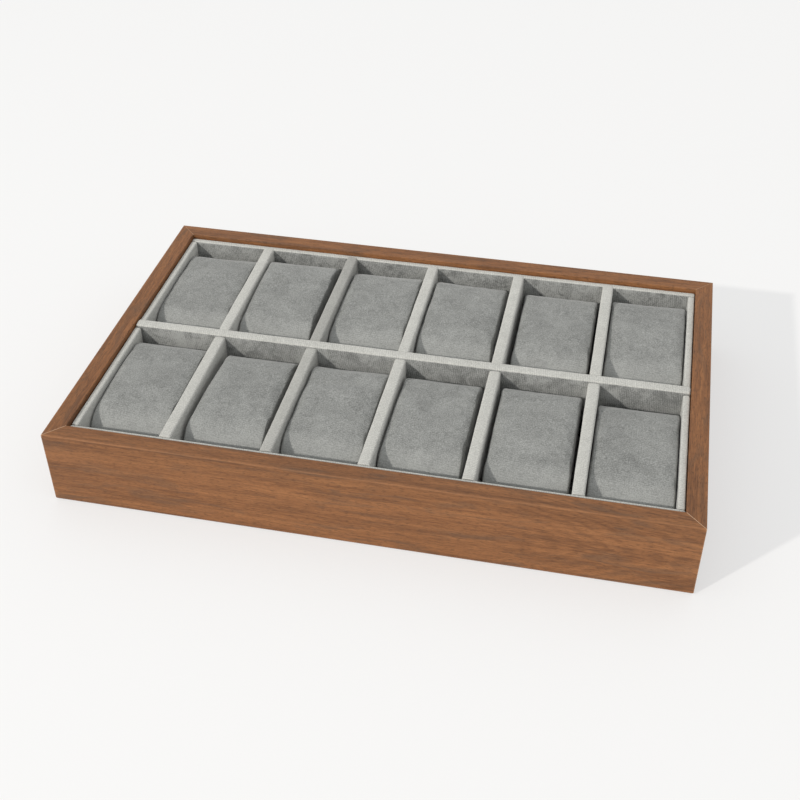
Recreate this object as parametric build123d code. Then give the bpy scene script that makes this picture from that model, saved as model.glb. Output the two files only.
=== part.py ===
from build123d import *
import os
from math import atan2, cos, pi, sin, sqrt

# Watch display tray: a mitred wood-veneered frame round a velvet-lined insert of two rows
# of six cells, with a lift-out pillow in each cell. Millimetres, +Z up, +X to the right
# along the rows, front at -Y. The origin lies under the middle of the tray.

# Frame
tray_height = 47.0
rail_thickness = 10.2
top_edge_radius = 0.4
bottom_edge_radius = 1.6
rebate_width = 5.0
spline_thickness = 2.5
spline_width = 7.0
spline_bottom = 7.0
spline_top = 38.0
spline_fit = 0.1

# Base
felt_thickness = 0.8
base_panel_thickness = 3.0
panel_fit = 0.3
felt_margin = 0.6
floor_board_thickness = 1.5
floor_velvet_thickness = 1.0

# Velvet-wrapped walls and dividers
velvet_thickness = 0.8
liner_thickness = 4.0
liner_drop = 2.4
liner_edge_radius = 1.3
liner_end_bevel = 0.8
liner_gap = 0.3
divider_thickness = 7.0
divider_drop = 2.6
divider_edge_radius = 2.3
divider_end_bevel = 1.2
centre_drop = 1.2
wall_end_gap = 0.1
core_fit = 0.1
tongue_thickness = 2.4
tongue_height = 14.0
tongue_bottom = 12.0
tongue_fit = 0.15
tongue_end_gap = 0.3

# Pillows
pillow_width = 45.3
pillow_length = 85.0
pillow_height = 35.6
pillow_crown_radius = 230.0
pillow_top_radius = 16.5
pillow_bottom_radius = 11.0
pillow_side_bevel = 1.4
pillow_back_gap = 0.6
pillow_front_gap = 7.9
pillow_seat_gap = 0.3
cover_thickness = 1.1
foam_fit = 0.2
# Cells: the dividers were set by hand, so the room beside the pillows differs a little
cell_clearances = (0.7, 4.2, 1.2, 3.2, 4.2, 0.7)
# How far each pillow lies from the middle of its cell, left to right
pillow_shifts_back = (0.0, -1.4, 0.0, -0.5, 0.6, 0.0)
pillow_shifts_front = (0.0, -0.4, 0.0, -0.9, 0.2, 0.0)

# Sizes that follow from those above
cell_widths = [pillow_width + clearance for clearance in cell_clearances]
cell_depth = pillow_back_gap + pillow_length + pillow_front_gap
row_width = sum(cell_widths) + (len(cell_widths) - 1) * divider_thickness
inner_length = row_width + 2 * (liner_thickness + liner_gap)
inner_depth = 2 * (cell_depth + liner_thickness + liner_gap) + divider_thickness
tray_length = inner_length + 2 * rail_thickness
tray_depth = inner_depth + 2 * rail_thickness
rebate_height = felt_thickness + base_panel_thickness
floor_board_top = rebate_height + floor_board_thickness
floor_top = floor_board_top + floor_velvet_thickness
liner_height = tray_height - liner_drop - floor_top
divider_height = tray_height - divider_drop - floor_top
centre_height = tray_height - centre_drop - floor_top
liner_middle_y = inner_depth / 2 - liner_gap - liner_thickness / 2
liner_face_y = liner_middle_y - liner_thickness / 2
centre_face_y = divider_thickness / 2

os.makedirs("parts", exist_ok=True)


def block(x_range, y_range, z_range):
    """A box from its lowest to its highest value on each axis."""
    size = [high - low for low, high in (x_range, y_range, z_range)]
    corner = [low for low, high in (x_range, y_range, z_range)]
    return Pos(*corner) * Box(*size, align=(Align.MIN, Align.MIN, Align.MIN))


def save(name, shape):
    """Write one named piece, or one group of like pieces, as a STEP file."""
    shape.label = name
    export_step(shape, "parts/" + name + ".step")


def divider_middles():
    """The X place of the middle of each divider, stepped along from the left liner."""
    places = []
    edge = -row_width / 2
    for width in cell_widths[:-1]:
        places.append(edge + width + divider_thickness / 2)
        edge += width + divider_thickness
    return places


def cell_middles():
    """The X place of the middle of each cell, stepped along from the left liner."""
    places = []
    edge = -row_width / 2
    for width in cell_widths:
        places.append(edge + width / 2)
        edge += width + divider_thickness
    return places


# Frame: four veneered rails, mitred at the corners and rebated below for the base panel
def corner_spline(sign_x, sign_y, grow):
    """The loose tongue across one mitre, square to the joint face, grown for its slot."""
    x = sign_x * (tray_length - rail_thickness) / 2
    y = sign_y * (tray_depth - rail_thickness) / 2
    height = spline_top - spline_bottom + 2 * grow
    tongue = Box(spline_width + 2 * grow, spline_thickness + 2 * grow, height)
    middle = (spline_top + spline_bottom) / 2
    return Pos(x, y, middle) * Rot(0, 0, -45 * sign_x * sign_y) * tongue


def rail(length):
    """A rail lying along X with its outer face on Y = 0, its ends mitred inwards."""
    outline = Polyline(
        (0, 0),
        (0, tray_height),
        (-rail_thickness, tray_height),
        (-rail_thickness, rebate_height),
        (-rail_thickness + rebate_width, rebate_height),
        (-rail_thickness + rebate_width, 0),
        close=True,
    )
    section = make_face(outline)
    top_corners = section.vertices().group_by(Axis.Y)[-1]
    section = fillet(top_corners, top_edge_radius)
    foot_corner = section.vertices().sort_by_distance((0, 0))[0]
    section = fillet(foot_corner, bottom_edge_radius)
    bar = extrude(Plane.YZ.offset(-length / 2) * section, length)
    plan = Polyline(
        (-length / 2, 0),
        (length / 2, 0),
        (length / 2 - rail_thickness, -rail_thickness),
        (-length / 2 + rail_thickness, -rail_thickness),
        close=True,
    )
    return bar & extrude(make_face(plan), tray_height)


corners = [(sign_x, sign_y) for sign_x in (-1, 1) for sign_y in (-1, 1)]
spline_slots = [corner_spline(sign_x, sign_y, spline_fit) for sign_x, sign_y in corners]
long_rail = rail(tray_length)
short_rail = rail(tray_depth)
rails = {
    "rail_back": Pos(0, tray_depth / 2, 0) * long_rail,
    "rail_front": Pos(0, -tray_depth / 2, 0) * Rot(0, 0, 180) * long_rail,
    "rail_left": Pos(-tray_length / 2, 0, 0) * Rot(0, 0, 90) * short_rail,
    "rail_right": Pos(tray_length / 2, 0, 0) * Rot(0, 0, -90) * short_rail,
}
for name, shape in rails.items():
    save(name, shape - spline_slots)
save("corner_splines", Compound([corner_spline(*corner, 0.0) for corner in corners]))


# Base: a panel in the rebate with felt under it, and a velvet-faced floor board on it
def flat_sheet(length, depth, bottom, thickness):
    """A rectangular sheet centred on the tray."""
    return block((-length / 2, length / 2), (-depth / 2, depth / 2), (bottom, bottom + thickness))


panel_length = inner_length + 2 * (rebate_width - panel_fit)
panel_depth = inner_depth + 2 * (rebate_width - panel_fit)
floor_length = inner_length - 2 * panel_fit
floor_depth = inner_depth - 2 * panel_fit
save("base_felt", flat_sheet(panel_length - 2 * felt_margin, panel_depth - 2 * felt_margin, 0, felt_thickness))
save("base_panel", flat_sheet(panel_length, panel_depth, felt_thickness, base_panel_thickness))
save("floor_board", flat_sheet(floor_length, floor_depth, rebate_height, floor_board_thickness))
save("floor_velvet", flat_sheet(floor_length, floor_depth, floor_board_top, floor_velvet_thickness))


# Walls and dividers: a board in a velvet sleeve that is closed over the top and both ends
def wrapped_board(length, thickness, height, edge_radius, end_bevel):
    """The velvet sleeve and its board, along X, standing on Z = 0, with eased edges."""
    sleeve = Box(length, thickness, height, align=(Align.CENTER, Align.CENTER, Align.MIN))
    sleeve = fillet(sleeve.faces().sort_by(Axis.Z)[-1].edges().filter_by(Axis.X), edge_radius)
    ends = sleeve.faces().sort_by(Axis.X)
    outlines = ends[0].edges().sort_by(Axis.Z)[1:] + ends[-1].edges().sort_by(Axis.Z)[1:]
    sleeve = chamfer(outlines, end_bevel)
    inside = (length - 2 * velvet_thickness, thickness - 2 * velvet_thickness, height - velvet_thickness)
    pocket = Box(*inside, align=(Align.CENTER, Align.CENTER, Align.MIN))
    eased_radius = edge_radius - velvet_thickness
    pocket = fillet(pocket.faces().sort_by(Axis.Z)[-1].edges().filter_by(Axis.X), eased_radius)
    cut = (inside[0] - 2 * core_fit, inside[1] - 2 * core_fit, inside[2] - core_fit)
    board = Box(*cut, align=(Align.CENTER, Align.CENTER, Align.MIN))
    board = fillet(board.faces().sort_by(Axis.Z)[-1].edges().filter_by(Axis.X), eased_radius)
    return sleeve - pocket, board


def tongue(x, y_range, grow):
    """A short divider's tongue across the joint at one of its ends, grown for its slot."""
    half = tongue_thickness / 2 + grow
    bottom = tongue_bottom - grow
    top = tongue_bottom + tongue_height + grow
    return block((x - half, x + half), (y_range[0] - grow, y_range[1] + grow), (bottom, top))


# Each tongue stops a little short of the middle of the centre divider and of the velvet
# on the far side of the liner, so two tongues never meet
tongue_inner_y = tongue_end_gap / 2
tongue_outer_y = liner_face_y + liner_thickness - velvet_thickness - tongue_end_gap
divider_length = liner_face_y - centre_face_y - 2 * wall_end_gap
divider_middle_y = (liner_face_y + centre_face_y) / 2
slots = []
for x in divider_middles():
    for side in (-1, 1):
        span = sorted((side * (tongue_inner_y + tongue_fit), side * (tongue_outer_y - tongue_fit)))
        slots.append(tongue(x, span, tongue_fit))

long_liner = wrapped_board(
    inner_length - 2 * wall_end_gap, liner_thickness, liner_height, liner_edge_radius, liner_end_bevel
)
long_liner_cores = []
for name, side in (("liner_back", 1), ("liner_front", -1)):
    place = Pos(0, side * liner_middle_y, floor_top)
    sleeve, board = [place * piece for piece in long_liner]
    save(name, sleeve - slots)
    long_liner_cores.append(board - slots)

side_liner = wrapped_board(divider_length, liner_thickness, liner_height, liner_edge_radius, liner_end_bevel)
side_liner_x = inner_length / 2 - liner_gap - liner_thickness / 2
side_liner_cores = []
for side_name, side_x in (("left", -1), ("right", 1)):
    for row_name, side_y in (("back", 1), ("front", -1)):
        place = Pos(side_x * side_liner_x, side_y * divider_middle_y, floor_top) * Rot(0, 0, 90)
        sleeve, board = [place * piece for piece in side_liner]
        save("liner_" + side_name + "_" + row_name, sleeve)
        side_liner_cores.append(board)
save("liner_boards", Compound(long_liner_cores + side_liner_cores))

centre_sleeve, centre_board = wrapped_board(
    inner_length - 2 * wall_end_gap, divider_thickness, centre_height, divider_edge_radius, divider_end_bevel
)
save("centre_divider", Pos(0, 0, floor_top) * centre_sleeve - slots)
save("centre_divider_board", Pos(0, 0, floor_top) * centre_board - slots)

short_divider = wrapped_board(
    divider_length, divider_thickness, divider_height, divider_edge_radius, divider_end_bevel
)
divider_boards = []
for row_name, side in (("back", 1), ("front", -1)):
    for number, x in enumerate(divider_middles(), start=1):
        place = Pos(x, side * divider_middle_y, floor_top) * Rot(0, 0, 90)
        sleeve, board = [place * piece for piece in short_divider]
        span = sorted((side * tongue_inner_y, side * tongue_outer_y))
        save("divider_" + row_name + "_" + str(number), sleeve - slots)
        divider_boards.append(board + tongue(x, span, 0.0))
save("divider_boards", Compound(divider_boards))


# Pillows: a velvet cover sewn from a long band and two cheeks, over a block of foam
def side_profile(inset):
    """The pillow seen from the side: flat below, full round ends, a crowned top.

    Each end circle touches the end line, and the top one touches the crown from inside,
    so its centre lies at the crown radius less its own radius from the crown's centre.
    """
    half = pillow_length / 2 - inset
    bottom = inset
    top = pillow_height - inset
    crown = pillow_crown_radius - inset
    upper = pillow_top_radius - inset
    lower = pillow_bottom_radius - inset
    upper_y = half - upper
    crown_z = top - crown
    upper_z = crown_z + sqrt((crown - upper) ** 2 - upper_y ** 2)
    lower_y = half - lower
    lower_z = bottom + lower
    crown_angle = atan2(upper_z - crown_z, upper_y)

    def on_circle(centre_y, centre_z, radius, angle):
        return (centre_y + radius * cos(angle), centre_z + radius * sin(angle))

    def mirrored(point):
        return (-point[0], point[1])

    upper_start = (half, upper_z)
    upper_middle = on_circle(upper_y, upper_z, upper, crown_angle / 2)
    upper_end = on_circle(upper_y, upper_z, upper, crown_angle)
    lower_start = (lower_y, bottom)
    lower_middle = on_circle(lower_y, lower_z, lower, -pi / 4)
    lower_end = (half, lower_z)
    edges = [
        Line(mirrored(lower_start), lower_start),
        ThreePointArc(lower_start, lower_middle, lower_end),
        Line(lower_end, upper_start),
        ThreePointArc(upper_start, upper_middle, upper_end),
        ThreePointArc(upper_end, (0, top), mirrored(upper_end)),
        ThreePointArc(mirrored(upper_end), mirrored(upper_middle), mirrored(upper_start)),
        Line(mirrored(upper_start), mirrored(lower_end)),
        ThreePointArc(mirrored(lower_end), mirrored(lower_middle), mirrored(lower_start)),
    ]
    return make_face(edges)


def cushion(skin):
    """The pillow's body, a skin's depth inside its outer surface."""
    half = pillow_width / 2 - skin
    return extrude(Plane.YZ.offset(-half) * side_profile(skin), 2 * half)


outside = cushion(0.0)
cheeks = outside.faces().sort_by(Axis.X)
outside = chamfer(cheeks[0].edges() + cheeks[-1].edges(), pillow_side_bevel)
cover = outside - cushion(cover_thickness)
foam = cushion(cover_thickness + foam_fit)
pillow_y = centre_face_y + cell_depth - pillow_back_gap - pillow_length / 2
rows = (
    ("back", pillow_y, pillow_shifts_back),
    ("front", pillow_y - divider_thickness - cell_depth, pillow_shifts_front),
)
for row_name, middle_y, shifts in rows:
    for index, middle_x in enumerate(cell_middles()):
        place = Pos(middle_x + shifts[index], middle_y, floor_top + pillow_seat_gap)
        name = "pillow_" + row_name + "_" + str(index + 1)
        save(name + "_cover", place * cover)
        save(name + "_foam", place * foam)

print("tray", round(tray_length, 2), round(tray_depth, 2), tray_height)
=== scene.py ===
import math

import bmesh
import bpy
import numpy as np
from mathutils import Matrix, Vector


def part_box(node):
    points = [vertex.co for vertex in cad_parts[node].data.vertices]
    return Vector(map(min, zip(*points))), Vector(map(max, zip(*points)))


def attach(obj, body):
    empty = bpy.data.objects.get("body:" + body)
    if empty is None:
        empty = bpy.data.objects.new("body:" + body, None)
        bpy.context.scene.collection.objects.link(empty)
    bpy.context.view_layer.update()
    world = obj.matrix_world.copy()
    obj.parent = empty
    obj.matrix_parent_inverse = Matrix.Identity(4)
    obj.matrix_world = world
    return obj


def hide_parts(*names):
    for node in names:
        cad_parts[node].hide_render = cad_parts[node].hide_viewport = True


# Watch display tray in metres: +X to the right along the rows, front at -Y, +Z up.
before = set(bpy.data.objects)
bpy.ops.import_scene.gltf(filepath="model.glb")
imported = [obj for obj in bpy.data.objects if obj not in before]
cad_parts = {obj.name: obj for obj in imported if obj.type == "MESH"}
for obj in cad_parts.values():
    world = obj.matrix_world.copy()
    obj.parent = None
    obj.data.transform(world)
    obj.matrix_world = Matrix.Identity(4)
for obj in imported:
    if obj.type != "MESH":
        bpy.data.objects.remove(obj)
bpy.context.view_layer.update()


# Walnut veneer on the four mitred rails, which keep the shape of the frame. The grain
# runs along each rail and wraps over the top edge, as on veneered board; the mitres
# show a pale glue line and the outer top arris has a lighter painted highlight.
def arithmetic(tree, operation, *values):
    """The output of a math node. Each value is a number or another node's output."""
    node = tree.nodes.new("ShaderNodeMath")
    node.operation = operation
    for socket, value in zip(node.inputs, values):
        if isinstance(value, (int, float)):
            socket.default_value = value
        else:
            tree.links.new(value, socket)
    return node.outputs[0]


def between(tree, value, start, stop, least, most):
    """The output of a map range node: least up to start, and most from stop on."""
    node = tree.nodes.new("ShaderNodeMapRange")
    names = ("From Min", "From Max", "To Min", "To Max")
    for name, number in zip(names, (start, stop, least, most)):
        node.inputs[name].default_value = number
    tree.links.new(value, node.inputs["Value"])
    return node.outputs["Result"]


def blend(tree, factor, first, second):
    """The output of a colour mix. Each colour is four numbers or another node's output."""
    node = tree.nodes.new("ShaderNodeMix")
    node.data_type = "RGBA"
    tree.links.new(factor, node.inputs[0])
    for socket, colour in ((node.inputs[6], first), (node.inputs[7], second)):
        if isinstance(colour, bpy.types.NodeSocket):
            tree.links.new(colour, socket)
        else:
            socket.default_value = colour
    return node.outputs[2]


def scaled(tree, colour, factor):
    """The output of a node that multiplies a colour by a factor."""
    node = tree.nodes.new("ShaderNodeVectorMath")
    node.operation = "SCALE"
    tree.links.new(colour, node.inputs[0])
    tree.links.new(factor, node.inputs["Scale"])
    return node.outputs[0]


def noise(tree, vector, scale, detail, roughness, distortion):
    """The output of a noise texture."""
    node = tree.nodes.new("ShaderNodeTexNoise")
    node.inputs["Scale"].default_value = scale
    node.inputs["Detail"].default_value = detail
    node.inputs["Roughness"].default_value = roughness
    node.inputs["Distortion"].default_value = distortion
    tree.links.new(vector, node.inputs["Vector"])
    return node.outputs["Fac"]


def bumped(tree, shader, height, strength, distance):
    """Join a height to a shader's normal through a bump node."""
    bump = tree.nodes.new("ShaderNodeBump")
    bump.inputs["Strength"].default_value = strength
    bump.inputs["Distance"].default_value = distance
    tree.links.new(height, bump.inputs["Height"])
    tree.links.new(bump.outputs["Normal"], shader.inputs["Normal"])


def new_material(name):
    """A material, its node tree, its Principled shader and the object's own coordinates."""
    material = bpy.data.materials.new(name)
    material.use_nodes = True
    tree = material.node_tree
    coords = tree.nodes.new("ShaderNodeTexCoord")
    return material, tree, tree.nodes["Principled BSDF"], coords.outputs["Object"]


def new_group(name, inputs, outputs):
    """A shader node group with named sockets, its input node and its output node."""
    group = bpy.data.node_groups.new(name, "ShaderNodeTree")
    for way, sockets in (("INPUT", inputs), ("OUTPUT", outputs)):
        for socket, kind in sockets:
            group.interface.new_socket(socket, in_out=way, socket_type="NodeSocket" + kind)
    return group, group.nodes.new("NodeGroupInput"), group.nodes.new("NodeGroupOutput")


def walnut_group():
    """Veneer in two dimensions: X runs along the grain, Y across it and Z picks the leaf.

    Bands, streaks and fibres are noise stretched more than 20 times along the grain.
    Greyish smudges are the peaks of a wider noise, stretched 5 times, and the pores those
    of a fine one, short dark dashes that also dent. Arches are a sine of the squared way
    from the middle of the leaf plus the way along it, so that they nest and point along
    the grain.
    """
    group, given, made = new_group(
        "walnut_veneer",
        (("Vector", "Vector"), ("Arches", "Float")),
        (("Color", "Color"), ("Roughness", "Float"), ("Height", "Float")),
    )
    new, link = group.nodes.new, group.links.new

    def stretched(along, across, detail, distortion):
        place = new("ShaderNodeMapping")
        place.inputs["Scale"].default_value = (along, across, 1.0)
        link(given.outputs["Vector"], place.inputs["Vector"])
        return noise(group, place.outputs["Vector"], 1.0, detail, 0.6, distortion)

    bands = stretched(7.0, 150.0, 3.0, 0.6)
    streaks = stretched(26.0, 620.0, 4.0, 0.3)
    fibres = stretched(110.0, 2600.0, 2.0, 0.0)
    smudges = stretched(24.0, 130.0, 3.0, 1.2)
    pores = stretched(330.0, 2300.0, 1.0, 0.0)
    split = new("ShaderNodeSeparateXYZ")
    link(given.outputs["Vector"], split.inputs[0])
    leaf_middle, pointedness, arches_per_metre, wander = 0.021, 6500.0, 75.0, 2.4
    aside = arithmetic(group, "SUBTRACT", split.outputs["Y"], leaf_middle)
    nest = arithmetic(group, "MULTIPLY", aside, aside)
    nest = arithmetic(group, "MULTIPLY", nest, pointedness)
    nest = arithmetic(group, "MULTIPLY_ADD", split.outputs["X"], arches_per_metre, nest)
    nest = arithmetic(group, "MULTIPLY_ADD", smudges, wander, nest)
    arches = arithmetic(group, "SINE", arithmetic(group, "MULTIPLY", nest, 2 * math.pi))
    place = between(group, split.outputs["X"], 0.05, 0.11, 0.0, 1.0)
    arches = arithmetic(group, "MULTIPLY", arches, place)
    arches = arithmetic(group, "MULTIPLY", arches, given.outputs["Arches"])
    total = arithmetic(group, "MULTIPLY", streaks, 0.30)
    total = arithmetic(group, "MULTIPLY_ADD", bands, 0.34, total)
    total = arithmetic(group, "MULTIPLY_ADD", fibres, 0.36, total)
    total = arithmetic(group, "ADD", total, arches)
    ramp = new("ShaderNodeValToRGB")
    ramp.color_ramp.elements[0].position = 0.39
    ramp.color_ramp.elements[0].color = (0.141, 0.060, 0.0252, 1.0)
    ramp.color_ramp.elements[1].position = 0.61
    ramp.color_ramp.elements[1].color = (0.325, 0.142, 0.0545, 1.0)
    middle = ramp.color_ramp.elements.new(0.50)
    middle.color = (0.241, 0.102, 0.0397, 1.0)
    link(total, ramp.inputs["Fac"])
    greyish, pore_dark = (0.135, 0.076, 0.044, 1.0), (0.075, 0.035, 0.017, 1.0)
    smudged = between(group, smudges, 0.52, 0.70, 0.0, 0.62)
    colour = blend(group, smudged, ramp.outputs["Color"], greyish)
    dash = between(group, pores, 0.55, 0.66, 0.0, 1.0)
    colour = blend(group, arithmetic(group, "MULTIPLY", dash, 0.50), colour, pore_dark)
    link(colour, made.inputs["Color"])
    link(arithmetic(group, "MULTIPLY_ADD", streaks, 0.14, 0.44), made.inputs["Roughness"])
    link(arithmetic(group, "MULTIPLY_ADD", dash, -0.8, fibres), made.inputs["Height"])
    return group


walnut = walnut_group()
tray_low, tray_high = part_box("rail_front")[0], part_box("rail_back")[1]
# The depth into a rail is its inward coordinate times the sign, plus the offset
rail_facts = (
    ("rail_front", "X", "Y", 1.0, -tray_low.y, tray_high.x, 3.1, 0.028, 1.0),
    ("rail_back", "X", "Y", -1.0, tray_high.y, tray_high.x, 7.4, 0.0, 0.45),
    ("rail_left", "Y", "X", 1.0, -tray_low.x, tray_high.y, 11.7, 0.0, 0.0),
    ("rail_right", "Y", "X", -1.0, tray_high.x, tray_high.y, 15.2, 0.0, 0.0),
)
for name, along, inward, sign, offset, half_length, leaf, arches, glue in rail_facts:
    material, tree, shader, place = new_material("walnut_" + name)
    new, link = tree.nodes.new, tree.links.new
    split = new("ShaderNodeSeparateXYZ")
    link(place, split.inputs[0])
    height = split.outputs["Z"]
    depth = arithmetic(tree, "MULTIPLY_ADD", split.outputs[inward], sign, offset)
    across = arithmetic(tree, "ADD", depth, height)
    flat = new("ShaderNodeCombineXYZ")
    link(split.outputs[along], flat.inputs["X"])
    link(across, flat.inputs["Y"])
    flat.inputs["Z"].default_value = leaf
    veneer = new("ShaderNodeGroup")
    veneer.node_tree = walnut
    veneer.inputs["Arches"].default_value = arches
    link(flat.outputs[0], veneer.inputs["Vector"])
    # The mitre is where the depth equals the way to the end of the rail. Its line is clear
    # on the top face and faint down the corner.
    to_end = arithmetic(tree, "ABSOLUTE", split.outputs[along])
    to_end = arithmetic(tree, "ADD", to_end, depth)
    mitre = between(tree, to_end, half_length - 0.00055, half_length - 0.00018, 0.0, glue)
    upper = between(tree, height, tray_high.z - 0.0012, tray_high.z - 0.0004, 0.25, 1.0)
    line = arithmetic(tree, "MULTIPLY", mitre, upper)
    colour = blend(tree, line, veneer.outputs["Color"], (0.60, 0.40, 0.25, 1.0))
    # Painted highlight on the outer top arris, which is where height less depth is greatest
    outward = arithmetic(tree, "SUBTRACT", height, depth)
    painted_arris_highlight = between(tree, outward, tray_high.z - 0.0009, tray_high.z - 0.0004, 0.0, 0.32)
    colour = blend(tree, painted_arris_highlight, colour, (0.40, 0.19, 0.085, 1.0))
    # Painted shade: the top face and the upper edge of the side are a little darker
    level = between(tree, across, 0.033, 0.042, 1.0, 0.90)
    link(scaled(tree, colour, level), shader.inputs["Base Color"])
    link(veneer.outputs["Roughness"], shader.inputs["Roughness"])
    shader.inputs["Specular IOR Level"].default_value = 0.25
    bumped(tree, shader, veneer.outputs["Height"], 0.25, 0.0002)
    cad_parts[name].data.materials.clear()
    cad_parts[name].data.materials.append(material)


# Hidden boards: the splines in the mitres, the base panel, the floor board and the
# boards inside the walls and dividers, plain board with a faint fleck.
for name, colour in (
    ("corner_splines", (0.55, 0.40, 0.25, 1.0)),
    ("base_panel", (0.36, 0.25, 0.16, 1.0)),
    ("floor_board", (0.42, 0.38, 0.32, 1.0)),
    ("liner_boards", (0.42, 0.38, 0.32, 1.0)),
    ("centre_divider_board", (0.42, 0.38, 0.32, 1.0)),
    ("divider_boards", (0.42, 0.38, 0.32, 1.0)),
):
    material, tree, shader, place = new_material("board_" + name)
    fleck = noise(tree, place, 900.0, 2.0, 0.5, 0.0)
    darker = [0.7 * value for value in colour[:3]] + [1.0]
    tree.links.new(blend(tree, fleck, darker, colour), shader.inputs["Base Color"])
    shader.inputs["Roughness"].default_value = 0.8
    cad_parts[name].data.materials.clear()
    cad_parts[name].data.materials.append(material)


# Velvet lining on the walls and dividers: a sleeve of short-pile velvet over each board,
# soft over the top, with painted shade on the upright faces that look to the front or back,
# so that these look darker than the tops. Each sleeve replaces its solid and is drawn in by up
# to 0.26 mm.
def velvet_group():
    """Nap: a cloudy tone, brushed marks and single tufts, three sizes of noise.

    The wide marks come from noise distorted by itself, as if a finger had brushed the
    pile, and the Brush input says how strongly they show. Ribs are a sine along one
    direction, the rows of the backing weave. The bump height is the tufts and ribs.
    """
    group, given, made = new_group(
        "velvet_nap",
        (
            ("Vector", "Vector"),
            ("Light", "Color"),
            ("Dark", "Color"),
            ("Brush", "Float"),
            ("Rib Direction", "Vector"),
            ("Ribs", "Float"),
        ),
        (("Color", "Color"), ("Height", "Float")),
    )
    cloud = noise(group, given.outputs["Vector"], 42.0, 3.0, 0.6, 0.8)
    brush = noise(group, given.outputs["Vector"], 130.0, 4.0, 0.6, 1.4)
    tufts = noise(group, given.outputs["Vector"], 1500.0, 2.0, 0.6, 0.0)
    dot = group.nodes.new("ShaderNodeVectorMath")
    dot.operation = "DOT_PRODUCT"
    group.links.new(given.outputs["Vector"], dot.inputs[0])
    group.links.new(given.outputs["Rib Direction"], dot.inputs[1])
    ribs = arithmetic(group, "MULTIPLY_ADD", brush, 3.0, dot.outputs["Value"])
    ribs = arithmetic(group, "MULTIPLY", arithmetic(group, "SINE", ribs), given.outputs["Ribs"])
    marks = arithmetic(group, "SUBTRACT", arithmetic(group, "ADD", cloud, brush), 1.0)
    tone = arithmetic(group, "MULTIPLY_ADD", marks, given.outputs["Brush"], 0.5)
    tuft_marks = arithmetic(group, "SUBTRACT", tufts, 0.5)
    tone = arithmetic(group, "MULTIPLY_ADD", tuft_marks, 2.3, tone)
    tone = arithmetic(group, "ADD", tone, ribs)
    colour = blend(group, tone, given.outputs["Dark"], given.outputs["Light"])
    group.links.new(colour, made.inputs["Color"])
    group.links.new(arithmetic(group, "ADD", tufts, ribs), made.inputs["Height"])
    return group


velvet = velvet_group()


def velvet_nap(tree, place, light, dark, brush, rib_direction, ribs):
    """The velvet group in a material, with the material's own values."""
    nap = tree.nodes.new("ShaderNodeGroup")
    nap.node_tree = velvet
    tree.links.new(place, nap.inputs["Vector"])
    nap.inputs["Light"].default_value = light
    nap.inputs["Dark"].default_value = dark
    nap.inputs["Brush"].default_value = brush
    nap.inputs["Rib Direction"].default_value = rib_direction
    nap.inputs["Ribs"].default_value = ribs
    return nap


def facing(tree):
    """The three parts of the way that the surface faces."""
    split = tree.nodes.new("ShaderNodeSeparateXYZ")
    geometry = tree.nodes.new("ShaderNodeNewGeometry")
    tree.links.new(geometry.outputs["Normal"], split.inputs[0])
    return split.outputs


def velvet_sheen(shader, roughness, tint):
    """A dull shader with the sheen of a short pile."""
    shader.inputs["Roughness"].default_value = 0.95
    shader.inputs["Specular IOR Level"].default_value = 0.12
    shader.inputs["Sheen Weight"].default_value = 0.30
    shader.inputs["Sheen Roughness"].default_value = roughness
    shader.inputs["Sheen Tint"].default_value = tint


def closed_surface(name, rings, material):
    """An object whose mesh is a stack of closed rings, with each end ring closed by a fan.

    Rings are an array of ring by point by coordinate. Quads join each ring to the next,
    and triangles join an end ring to a point in its middle.
    """
    count, around = rings.shape[:2]
    index = np.arange(count * around).reshape(count, around)
    beside = np.roll(index, -1, axis=1)
    quads = np.stack((index[:-1], beside[:-1], beside[1:], index[1:]), axis=-1).reshape(-1, 4)
    ends = np.stack((rings[0].mean(axis=0), rings[-1].mean(axis=0)))
    first = np.full(around, count * around)
    fans = (
        np.stack((beside[0], index[0], first), axis=-1),
        np.stack((index[-1], beside[-1], first + 1), axis=-1),
    )
    vertices = np.concatenate((rings.reshape(-1, 3), ends))
    mesh = bpy.data.meshes.new(name)
    mesh.from_pydata(vertices.tolist(), [], quads.tolist() + fans[0].tolist() + fans[1].tolist())
    edit = bmesh.new()
    edit.from_mesh(mesh)
    bmesh.ops.recalc_face_normals(edit, faces=edit.faces)
    edit.to_mesh(mesh)
    edit.free()
    mesh.shade_smooth()
    mesh.materials.append(material)
    made = bpy.data.objects.new(name, mesh)
    bpy.context.scene.collection.objects.link(made)
    return made


def waves(points, seed, size):
    """A smooth value from -1 to 1 at each point: the mean of six sine waves that run in
    seeded directions, each with a wavelength near size."""
    random = np.random.default_rng(seed)
    ways = random.normal(size=(6, 3))
    lengths = np.linalg.norm(ways, axis=1)
    ways *= (2 * math.pi / size * random.uniform(0.7, 1.5, 6) / lengths)[:, None]
    return np.sin(points @ ways.T + random.uniform(0, 2 * math.pi, 6)).mean(axis=1)


def points_and_normals(made):
    """The points of an object's mesh and the normals there, as two arrays."""
    found = []
    for name in ("co", "normal"):
        values = np.empty(len(made.data.vertices) * 3)
        made.data.vertices.foreach_get(name, values)
        found.append(values.reshape(-1, 3))
    return found


def keep_tone_and_shade(made, tone):
    """Keep a tone on each point of a mesh, where the lining's material finds it: the part's own
    tone with any painted shade.
    """
    kept = made.data.attributes.new("tone", "FLOAT", "POINT")
    kept.data.foreach_set("value", np.full(len(made.data.vertices), tone))


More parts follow.
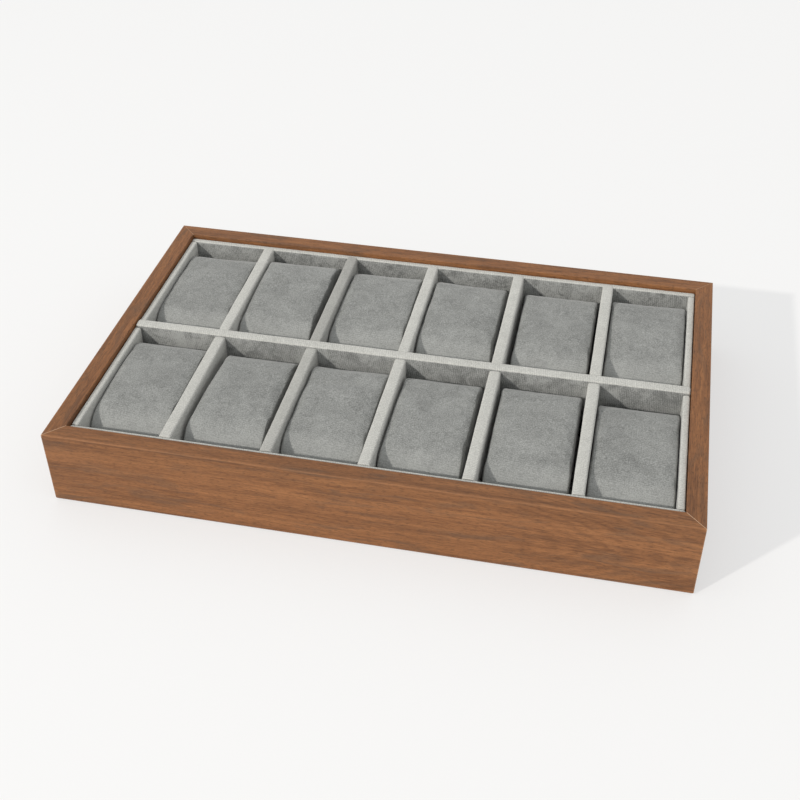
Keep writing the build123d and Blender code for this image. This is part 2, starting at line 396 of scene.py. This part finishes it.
def sleeve_rings(low, high, along, top_radius, end_radius):
    """A bar with a rounded top and rounded ends, its rings square to the axis along.

    Each ring goes up one side, over a quarter circle, across a top that is crowned by
    1.2% of its width, over the second quarter circle and down, then back below. Near an
    end the ring is drawn in by the end radius less the circle's height there. The last
    rings shrink towards the middle of the end face.
    """
    step, crown_share, side_points, under_points = 0.0013, 0.012, 17, 4
    other = 1 - along
    length, width, height = high[along] - low[along], high[other] - low[other], high[2] - low[2]
    turn = np.linspace(0, math.pi / 2, 7)
    end_steps = end_radius * (1 - np.sin(turn[::-1]))
    insets = end_radius * (1 - np.cos(turn[::-1]))
    span = np.linspace(end_radius, length - end_radius, int(length / step))[1:-1]
    places = np.concatenate((end_steps, span, length - end_steps[::-1]))
    drawn = np.concatenate((insets, np.zeros(len(span)), insets[::-1]))
    rows = []
    for place, inset in zip(places, drawn):
        half = width / 2 - inset
        top = height - inset
        radius = min(top_radius, half * 0.98)
        rise = np.linspace(0, top - radius, side_points + 1)[:-1]
        corner = np.linspace(0, math.pi / 2, 8)
        flat = np.linspace(-(half - radius), half - radius, 5)[1:-1]
        crown = crown_share * width * (1 - (flat / half) ** 2)
        under = np.linspace(half, -half, under_points + 2)[1:-1]
        x = np.concatenate((
            np.full(side_points, -half),
            -(half - radius) - radius * np.cos(corner),
            flat,
            (half - radius) + radius * np.sin(corner),
            np.full(side_points, half),
            under,
        ))
        z = np.concatenate((
            rise,
            top - radius + radius * np.sin(corner),
            top + crown,
            top - radius + radius * np.cos(corner),
            rise[::-1],
            np.zeros(under_points),
        ))
        rows.append((np.full(len(x), place), x, z))
    rings = np.array(rows).transpose(0, 2, 1)
    shrink = np.linspace(0.15, 1.0, 6)[:-1]
    middle = np.array((0.0, 0.0, height / 2))
    starts = [middle + (rings[0] - middle) * (1, value, value) for value in shrink]
    stops = [middle + (rings[-1] - middle) * (1, value, value) for value in shrink[::-1]]
    rings = np.concatenate((starts, rings, stops))
    world = np.empty_like(rings)
    world[..., along] = rings[..., 0] + low[along]
    world[..., other] = rings[..., 1] + (low[other] + high[other]) / 2
    world[..., 2] = rings[..., 2] + low[2]
    return world


lining = {}
for run, rib_direction in (("x", (5000.0, 600.0, 900.0)), ("y", (600.0, 5000.0, 900.0))):
    material, tree, shader, place = new_material("lining_velvet_" + run)
    light, dark = (0.600, 0.594, 0.550, 1.0), (0.380, 0.375, 0.346, 1.0)
    nap_top = velvet_nap(tree, place, light, dark, 0.45, rib_direction, 0.14)
    # The darker copy of the nap, for painted shade on the upright faces
    light, dark = (0.378, 0.380, 0.362, 1.0), (0.155, 0.157, 0.150, 1.0)
    shaded_nap = velvet_nap(tree, place, light, dark, 1.7, rib_direction, 0.14)
    # Painted shade: the faces that look to the front or back take a darker, shaded copy of the
    # nap
    painted_side_shade = arithmetic(tree, "ABSOLUTE", facing(tree)["Y"])
    painted_side_shade = between(tree, painted_side_shade, 0.75, 0.97, 0.0, 1.0)
    colour = blend(tree, painted_side_shade, nap_top.outputs["Color"], shaded_nap.outputs["Color"])
    # Each sleeve's own tone, times painted shade towards the cells' floor, kept on its points
    tone_and_shade = tree.nodes.new("ShaderNodeAttribute")
    tone_and_shade.attribute_name = "tone"
    tree.links.new(scaled(tree, colour, tone_and_shade.outputs["Fac"]), shader.inputs["Base Color"])
    bumped(tree, shader, nap_top.outputs["Height"], 0.5, 0.0003)
    velvet_sheen(shader, 0.45, (0.95, 0.94, 0.90, 1.0))
    lining[run] = material

# Node, axis along it (0 for X, 1 for Y), radius over the top and radius at the ends
sleeves = [
    ("centre_divider", 0, 0.0012, 0.0014),
    ("liner_back", 0, 0.0010, 0.0010),
    ("liner_front", 0, 0.0010, 0.0010),
]
for side in ("left", "right"):
    sleeves += [("liner_" + side + "_" + row, 1, 0.0010, 0.0010) for row in ("back", "front")]
for row in ("back", "front"):
    sleeves += [("divider_" + row + "_" + str(n), 1, 0.0014, 0.0009) for n in range(1, 6)]
tones = {
    "divider_back_2": 0.70,
    "divider_front_2": 0.80,
    "divider_front_1": 0.97,
    "liner_back": 0.97,
}
for seed, (node, along, top_radius, end_radius) in enumerate(sleeves):
    low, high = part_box(node)
    # The velvet's loose ends press into the wall behind, over the liner's top in the back row
    if node.startswith("divider_back"):
        high += Vector((0.0, 0.0020, 0.0005))
    elif node.startswith("divider_front"):
        high += Vector((0.0, 0.0009, 0.0002))
    rings = sleeve_rings(low, high, along, top_radius, end_radius)
    sleeve = closed_surface("velvet_" + node, rings, lining["xy"[along]])
    points, normals = points_and_normals(sleeve)
    # Drawn in by a wide and a fine wave, fading to nothing at the bottom
    wide, fine, fade_height, shade_height = 0.00011, 0.00003, 0.004, 0.026
    drawn = wide * (1.1 + waves(points, seed, 0.035)) + fine * waves(points, seed + 50, 0.008)
    drawn *= np.clip((points[:, 2] - low.z) / fade_height, 0, 1)
    points -= normals * drawn[:, None]
    sleeve.data.vertices.foreach_set("co", points.ravel())
    # Painted shade: darker towards the cells' floor, deepening the narrow gaps
    depth = np.clip((points[:, 2] - low.z) / shade_height, 0, 1)
    keep_tone_and_shade(sleeve, tones.get(node, 1.0) * (0.55 + 0.45 * depth))
    sleeve.data.update()
    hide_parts(node)
    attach(sleeve, "tray")


# Velvet on the cells' floor and felt under the base: thin sheets stuck down flat, each
# with a top that rises and falls by a few hundredths of a millimetre.
def stuck_sheet(name, low, high, thinner, material):
    """A sheet drawn as rings that run round it, from its lower to its upper face.

    Each ring is the sheet's rectangle, 320 points long, shrunk towards its middle. The
    lower half of the stack lies on the bottom plane and the upper half on the top one,
    less a smooth wave, so that the face is not quite flat.
    """
    side_points, face_rings = 80, 40
    side = np.linspace(-1, 1, side_points + 1)[:-1]
    edge = np.full(side_points, 1.0)
    outline = np.concatenate((
        np.stack((side, -edge), axis=-1),
        np.stack((edge, side), axis=-1),
        np.stack((-side, edge), axis=-1),
        np.stack((-edge, -side), axis=-1),
    ))
    middle = np.array(((low[0] + high[0]) / 2, (low[1] + high[1]) / 2))
    reach = np.array(((high[0] - low[0]) / 2, (high[1] - low[1]) / 2))
    scales = np.linspace(0.02, 1.0, face_rings)
    rings = []
    for height, steps in ((low[2], scales), (high[2], scales[::-1])):
        for scale in steps:
            flat = middle + outline * reach * scale
            rings.append(np.column_stack((flat, np.full(len(flat), height))))
    rings = np.array(rings)
    wave = waves(rings[face_rings:].reshape(-1, 3), 90, 0.03).reshape(face_rings, -1)
    rings[face_rings:, :, 2] -= thinner * (1.0 + wave)
    return closed_surface(name, rings, material)


floor_low, floor_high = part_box("floor_velvet")
floor_lining = stuck_sheet("velvet_floor", floor_low, floor_high, 0.00008, lining["x"])
# Painted shade: the velvet on the cells' floor is kept darker, as it lies deep in the cells
keep_tone_and_shade(floor_lining, 0.55)
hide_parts("floor_velvet")
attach(floor_lining, "tray")

material, tree, shader, place = new_material("base_felt")
fibres = noise(tree, place, 1500.0, 3.0, 0.5, 0.0)
light, dark = (0.065, 0.064, 0.062, 1.0), (0.020, 0.020, 0.021, 1.0)
tree.links.new(blend(tree, fibres, dark, light), shader.inputs["Base Color"])
bumped(tree, shader, fibres, 0.6, 0.0003)
shader.inputs["Roughness"].default_value = 0.95
felt_low, felt_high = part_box("base_felt")
felt = stuck_sheet("felt_base", felt_low, felt_high, 0.00003, material)
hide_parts("base_felt")
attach(felt, "tray")


# Pillows: twelve covers of darker velvet sewn over foam, each in its own cell. Their pile
# is brushed in clouds, with a painted highlight on the long edges where they catch the light.
# Each replaces its cover and foam and lifts out with its own body.
def pillow_outline(half, height, crown, upper, lower, step):
    """The pillow from the side, as points an even step apart round its outline.

    A flat bottom runs into a quarter circle, an upright line, a larger circle that
    touches the line, and the shallow crown arc that this circle touches from inside;
    the other half is the mirror image.
    """
    upper_y = half - upper
    crown_z = height - crown
    upper_z = crown_z + math.sqrt((crown - upper) ** 2 - upper_y ** 2)
    angle = math.atan2(upper_z - crown_z, upper_y)

    def arc(middle_y, middle_z, radius, start, stop, count):
        turn = np.linspace(start, stop, count)
        y, z = middle_y + radius * np.cos(turn), middle_z + radius * np.sin(turn)
        return np.stack((y, z), axis=-1)

    right = np.concatenate((
        arc(half - lower, lower, lower, -math.pi / 2, 0, 60),
        arc(upper_y, upper_z, upper, 0, angle, 90),
        arc(0.0, crown_z, crown, angle, math.pi / 2, 90)[1:],
    ))
    left = right[-2::-1] * (-1, 1)
    loop = np.concatenate((right, left, right[:1]))
    length = np.concatenate(([0], np.cumsum(np.linalg.norm(np.diff(loop, axis=0), axis=1))))
    even = np.linspace(0, length[-1], int(length[-1] / step) + 1)[:-1]
    return np.stack([np.interp(even, length, loop[:, axis]) for axis in (0, 1)], axis=-1)


def pillow_rings(width, length, height, step):
    """The pillow's side outline swept across its width, drawn in over both cheek edges.

    Near a cheek the outline shrinks by the edge radius less the circle's height there,
    as a fraction of its half height and half length. The cheek is closed by flat rings
    that shrink on towards its middle.
    """
    crown, upper, lower, edge = 0.230, 0.0165, 0.011, 0.0017
    outline = pillow_outline(length / 2, height, crown, upper, lower, step)
    middle = height / 2
    turn = np.linspace(0, math.pi / 2, 6)
    x_end = edge * (1 - np.sin(turn[::-1]))
    inset = edge * (1 - np.cos(turn[::-1]))
    span = np.linspace(edge, width - edge, int(width / step))[1:-1]
    places = np.concatenate((x_end, span, width - x_end[::-1])) - width / 2
    drawn = np.concatenate((inset, np.zeros(len(span)), inset[::-1]))
    scale_y = 1 - drawn / (length / 2)
    scale_z = 1 - drawn / (height / 2)
    cheek = np.linspace(0.08, 1.0, 9)[:-1]
    flat = np.full(len(cheek), places[0])
    places = np.concatenate((flat, places, -flat))
    scale_y = np.concatenate((cheek * scale_y[0], scale_y, cheek[::-1] * scale_y[-1]))
    scale_z = np.concatenate((cheek * scale_z[0], scale_z, cheek[::-1] * scale_z[-1]))
    rings = np.empty((len(places), len(outline), 3))
    rings[..., 0] = places[:, None]
    rings[..., 1] = outline[:, 0] * scale_y[:, None]
    rings[..., 2] = middle + (outline[:, 1] - middle) * scale_z[:, None]
    return rings


material, tree, shader, place = new_material("pillow_velvet")
light, dark = (0.345, 0.348, 0.330, 1.0), (0.148, 0.150, 0.142, 1.0)
nap = velvet_nap(tree, place, light, dark, 0.75, (500.0, 4800.0, 800.0), 0.07)
# Painted highlight: the pile is paler over the long edges, where they catch the light
geometry = tree.nodes.new("ShaderNodeNewGeometry")
painted_edge_highlight = between(tree, geometry.outputs["Pointiness"], 0.515, 0.56, 0.0, 0.45)
colour = blend(tree, painted_edge_highlight, nap.outputs["Color"], (0.42, 0.42, 0.40, 1.0))
# Painted light: paler where the pillow turns down to the front, facing the key
forward = between(tree, facing(tree)["Y"], -0.05, -0.65, 0.0, 0.32)
colour = blend(tree, forward, colour, (0.46, 0.465, 0.445, 1.0))
# Painted shade: the cheek faces look darker, turned away from the key
painted_cheek_shade = arithmetic(tree, "ABSOLUTE", facing(tree)["X"])
painted_cheek_shade = between(tree, painted_cheek_shade, 0.55, 0.95, 1.0, 0.50)
tree.links.new(scaled(tree, colour, painted_cheek_shade), shader.inputs["Base Color"])
bumped(tree, shader, nap.outputs["Height"], 0.55, 0.0003)
velvet_sheen(shader, 0.4, (0.92, 0.92, 0.90, 1.0))

cover_low, cover_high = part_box("pillow_back_1_cover")
pillow_size = cover_high - cover_low
base_rings = pillow_rings(*pillow_size, step=0.0024)


def puffed(seed):
    """How far each point of a pillow moves when its cover is filled, from a cloth run.

    The grid is held at its bottom and blown up from inside by a light pressure for 20
    frames without gravity. The way that each point went is kept, 0.7 mm at most, and
    0.2 mm at most sideways, since the cells are narrow.
    """
    held_below, farthest, sideways, last_frame = 0.004, 0.0007, 0.0002, 20
    trial = closed_surface("trial_pillow", base_rings, material)
    before = points_and_normals(trial)[0]
    held = trial.vertex_groups.new(name="held")
    held.add(np.flatnonzero(before[:, 2] < held_below).tolist(), 1.0, "REPLACE")
    cloth = trial.modifiers.new("cloth", "CLOTH")
    cloth.settings.quality = 6
    cloth.settings.mass = 0.15
    cloth.settings.tension_stiffness = 25.0
    cloth.settings.compression_stiffness = 12.0
    cloth.settings.bending_stiffness = 0.6
    cloth.settings.use_pressure = True
    cloth.settings.uniform_pressure_force = 4.0
    cloth.settings.shrink_min = -0.012 - 0.004 * seed
    cloth.settings.vertex_group_mass = "held"
    cloth.settings.effector_weights.gravity = 0.0
    cloth.collision_settings.use_collision = False
    scene = bpy.context.scene
    scene.frame_start, scene.frame_end = 1, last_frame
    for number in range(1, last_frame + 1):
        scene.frame_set(number)
    moved = trial.evaluated_get(bpy.context.evaluated_depsgraph_get()).to_mesh()
    after = np.empty(len(moved.vertices) * 3)
    moved.vertices.foreach_get("co", after)
    scene.frame_set(1)
    bpy.data.objects.remove(trial)
    move = after.reshape(-1, 3) - before
    size = np.linalg.norm(move, axis=1, keepdims=True)
    move *= np.minimum(1.0, farthest / np.maximum(size, 1e-9))
    move[:, 0] = np.clip(move[:, 0], -sideways, sideways)
    return move


# How each pillow lies, in millimetres: pushed to the front, back end raised, left side
# raised, and left back corner drawn in
lies = {
    "pillow_back_1": (0.0, 0.6, -0.4, 0.0),
    "pillow_back_2": (0.0, 3.0, 0.0, 0.0),
    "pillow_back_3": (0.0, 1.6, -0.5, 0.0),
    "pillow_back_4": (0.0, 1.3, 0.5, 0.0),
    "pillow_back_5": (0.9, 0.0, 0.0, 0.0),
    "pillow_back_6": (0.0, 1.8, -0.4, 0.0),
    "pillow_front_1": (0.0, 1.3, 0.0, 0.0),
    "pillow_front_2": (0.0, 0.2, 0.0, 2.6),
    "pillow_front_3": (0.0, 0.4, -0.2, 0.0),
    "pillow_front_4": (0.0, 0.0, 0.0, 0.6),
    "pillow_front_5": (0.0, 1.7, 0.0, 0.0),
    "pillow_front_6": (3.0, 0.0, 0.0, 0.0),
}
puffs = [puffed(seed) for seed in range(3)]
bpy.context.scene.frame_set(1)
for row_number, row in enumerate(("back", "front")):
    for number in range(1, 7):
        name = "pillow_" + row + "_" + str(number)
        low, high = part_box(name + "_cover")
        seed = 200 + 10 * row_number + number
        pillow = closed_surface("velvet_" + name, base_rings, material)
        points, normals = points_and_normals(pillow)
        points = points + puffs[(number + row_number) % 3]
        # Dented by a wide and a fine wave, which fade to nothing near the bottom
        wide, fine, still_height, fade_height = 0.00022, 0.00007, 0.012, 0.015
        upper = np.clip((points[:, 2] - still_height) / fade_height, 0, 1)
        dent = wide * (waves(points, seed, 0.030) - 0.6) + fine * waves(points, seed + 40, 0.009)
        if name == "pillow_front_3":
            # A shallow crease across the pillow near its back edge, and a low swell before it
            crease_x, crease_y, slant = -0.001, 0.0158, 0.10
            crease_width, crease_reach, swell_gap = 0.0022, 0.012, 0.0045
            bend = points[:, 1] - crease_y - slant * points[:, 0]
            fade = np.exp(-((points[:, 0] - crease_x) / crease_reach) ** 2)
            dent -= 0.0010 * np.exp(-((bend / crease_width) ** 2)) * fade
            dent += 0.0005 * np.exp(-(((bend + swell_gap) / crease_width) ** 2)) * fade
        points += normals * (dent * upper)[:, None]
        forward, raised, leaning, drawn_in = 0.001 * np.array(lies[name])
        backward = points[:, 1] / pillow_size.y + 0.5
        leftward = -2.0 * points[:, 0] / pillow_size.x
        points[:, 0] += drawn_in * np.clip(leftward, 0, 1) * backward
        points[:, 1] -= forward
        points[:, 2] += raised * backward + leaning * np.clip(leftward, -1, 1) * upper
        points += ((low.x + high.x) / 2, (low.y + high.y) / 2, low.z)
        pillow.data.vertices.foreach_set("co", points.ravel())
        pillow.data.update()
        finer = pillow.modifiers.new("finer", "SUBSURF")
        finer.levels = 1
        finer.render_levels = 1
        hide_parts(name + "_cover", name + "_foam")
        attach(pillow, name)


# The floor: a wide pale sheet that fades into the background. The camera sees it with
# part of its tone as its own light, as an overexposed studio sweep looks, so shadows on
# it stay pale; all other rays meet plain white paper.
mesh = bpy.data.meshes.new("studio_floor")
reach, lines, level = 12.0, 25, -0.0001
grid = np.linspace(-reach, reach, lines)
points = np.stack(np.meshgrid(grid, grid, [level], indexing="ij"), axis=-1).reshape(-1, 3)
index = np.arange(lines * lines).reshape(lines, lines)
corners = (index[:-1, :-1], index[1:, :-1], index[1:, 1:], index[:-1, 1:])
quads = np.stack(corners, axis=-1).reshape(-1, 4)
mesh.from_pydata(points.tolist(), [], quads.tolist())
floor = bpy.data.objects.new("studio_floor", mesh)
bpy.context.scene.collection.objects.link(floor)
material, tree, paper = new_material("studio_paper")[:3]
new, link = tree.nodes.new, tree.links.new
paper.inputs["Base Color"].default_value = (0.80, 0.80, 0.80, 1.0)
paper.inputs["Roughness"].default_value = 0.9
paper.inputs["Specular IOR Level"].default_value = 0.0
seen = new("ShaderNodeBsdfPrincipled")
seen.inputs["Base Color"].default_value = (0.375, 0.370, 0.362, 1.0)
seen.inputs["Roughness"].default_value = 0.9
seen.inputs["Specular IOR Level"].default_value = 0.0
seen.inputs["Emission Color"].default_value = (1.0, 1.0, 1.0, 1.0)
seen.inputs["Emission Strength"].default_value = 0.516
path = new("ShaderNodeLightPath")
choice = new("ShaderNodeMixShader")
link(path.outputs["Is Camera Ray"], choice.inputs[0])
link(paper.outputs[0], choice.inputs[1])
link(seen.outputs[0], choice.inputs[2])
link(choice.outputs[0], tree.nodes["Material Output"].inputs["Surface"])
mesh.materials.append(material)


# Light: one small, rather crisp key two metres away at the front left, 30 degrees up,
# that doesn't fade with distance and gives a fifth of the light on level faces. The rest
# is an even bright surround, as in a white room.
key = bpy.data.lights.new("key", "AREA")
key.shape = "DISK"
key.size = 0.08
key.energy = 6.0
key.color = (1.0, 0.97, 0.93)
key.use_nodes = True
tree = key.node_tree
falloff = tree.nodes.new("ShaderNodeLightFalloff")
falloff.inputs["Strength"].default_value = 1.0
tree.links.new(falloff.outputs["Constant"], tree.nodes["Emission"].inputs["Strength"])
key_lamp = bpy.data.objects.new("key", key)
key_place = Vector((-1.07, -1.36, 1.01))
key_lamp.location = key_place
key_lamp.rotation_mode = "QUATERNION"
key_lamp.rotation_quaternion = (-key_place).to_track_quat("-Z", "Y")
bpy.context.scene.collection.objects.link(key_lamp)

world = bpy.data.worlds.new("white_room")
world.use_nodes = True
bpy.context.scene.world = world
tree = world.node_tree
new, link = tree.nodes.new, tree.links.new
coords = new("ShaderNodeTexCoord")
split = new("ShaderNodeSeparateXYZ")
link(coords.outputs["Generated"], split.inputs[0])
rise = between(tree, split.outputs["Z"], 0.0, 1.0, 0.78, 0.88)
room = tree.nodes["Background"]
room.inputs["Color"].default_value = (0.97, 0.985, 1.0, 1.0)
link(rise, room.inputs["Strength"])
backdrop = new("ShaderNodeBackground")
backdrop.inputs["Color"].default_value = (0.90, 0.90, 0.90, 1.0)
path = new("ShaderNodeLightPath")
choice = new("ShaderNodeMixShader")
link(path.outputs["Is Camera Ray"], choice.inputs[0])
link(room.outputs[0], choice.inputs[1])
link(backdrop.outputs[0], choice.inputs[2])
link(choice.outputs[0], tree.nodes["World Output"].inputs["Surface"])


# Camera: the pinhole fitted to the tray's corners in the photo, 12.3 degrees round to the
# right and 38.8 degrees down, rolled by a third of a degree.
turn, tilt, roll = math.radians(12.27), math.radians(38.75), math.radians(-0.36)
ahead = Vector((
    -math.sin(turn) * math.cos(tilt),
    math.cos(turn) * math.cos(tilt),
    -math.sin(tilt),
))
right = Vector((math.cos(turn), math.sin(turn), 0.0))
up = right.cross(ahead)
right, up = (
    right * math.cos(roll) + up * math.sin(roll),
    up * math.cos(roll) - right * math.sin(roll),
)
camera = bpy.data.cameras.new("camera")
camera.sensor_width = 36.0
camera.lens = 54.70
camera.clip_start, camera.clip_end = 0.01, 100.0
camera_object = bpy.data.objects.new("camera", camera)
axes = Matrix((right, up, -ahead)).transposed().to_4x4()
camera_object.matrix_world = Matrix.Translation((0.1187, -0.5558, 0.4679)) @ axes
bpy.context.scene.collection.objects.link(camera_object)
bpy.context.scene.camera = camera_object
bpy.context.scene.view_settings.view_transform = "Standard"
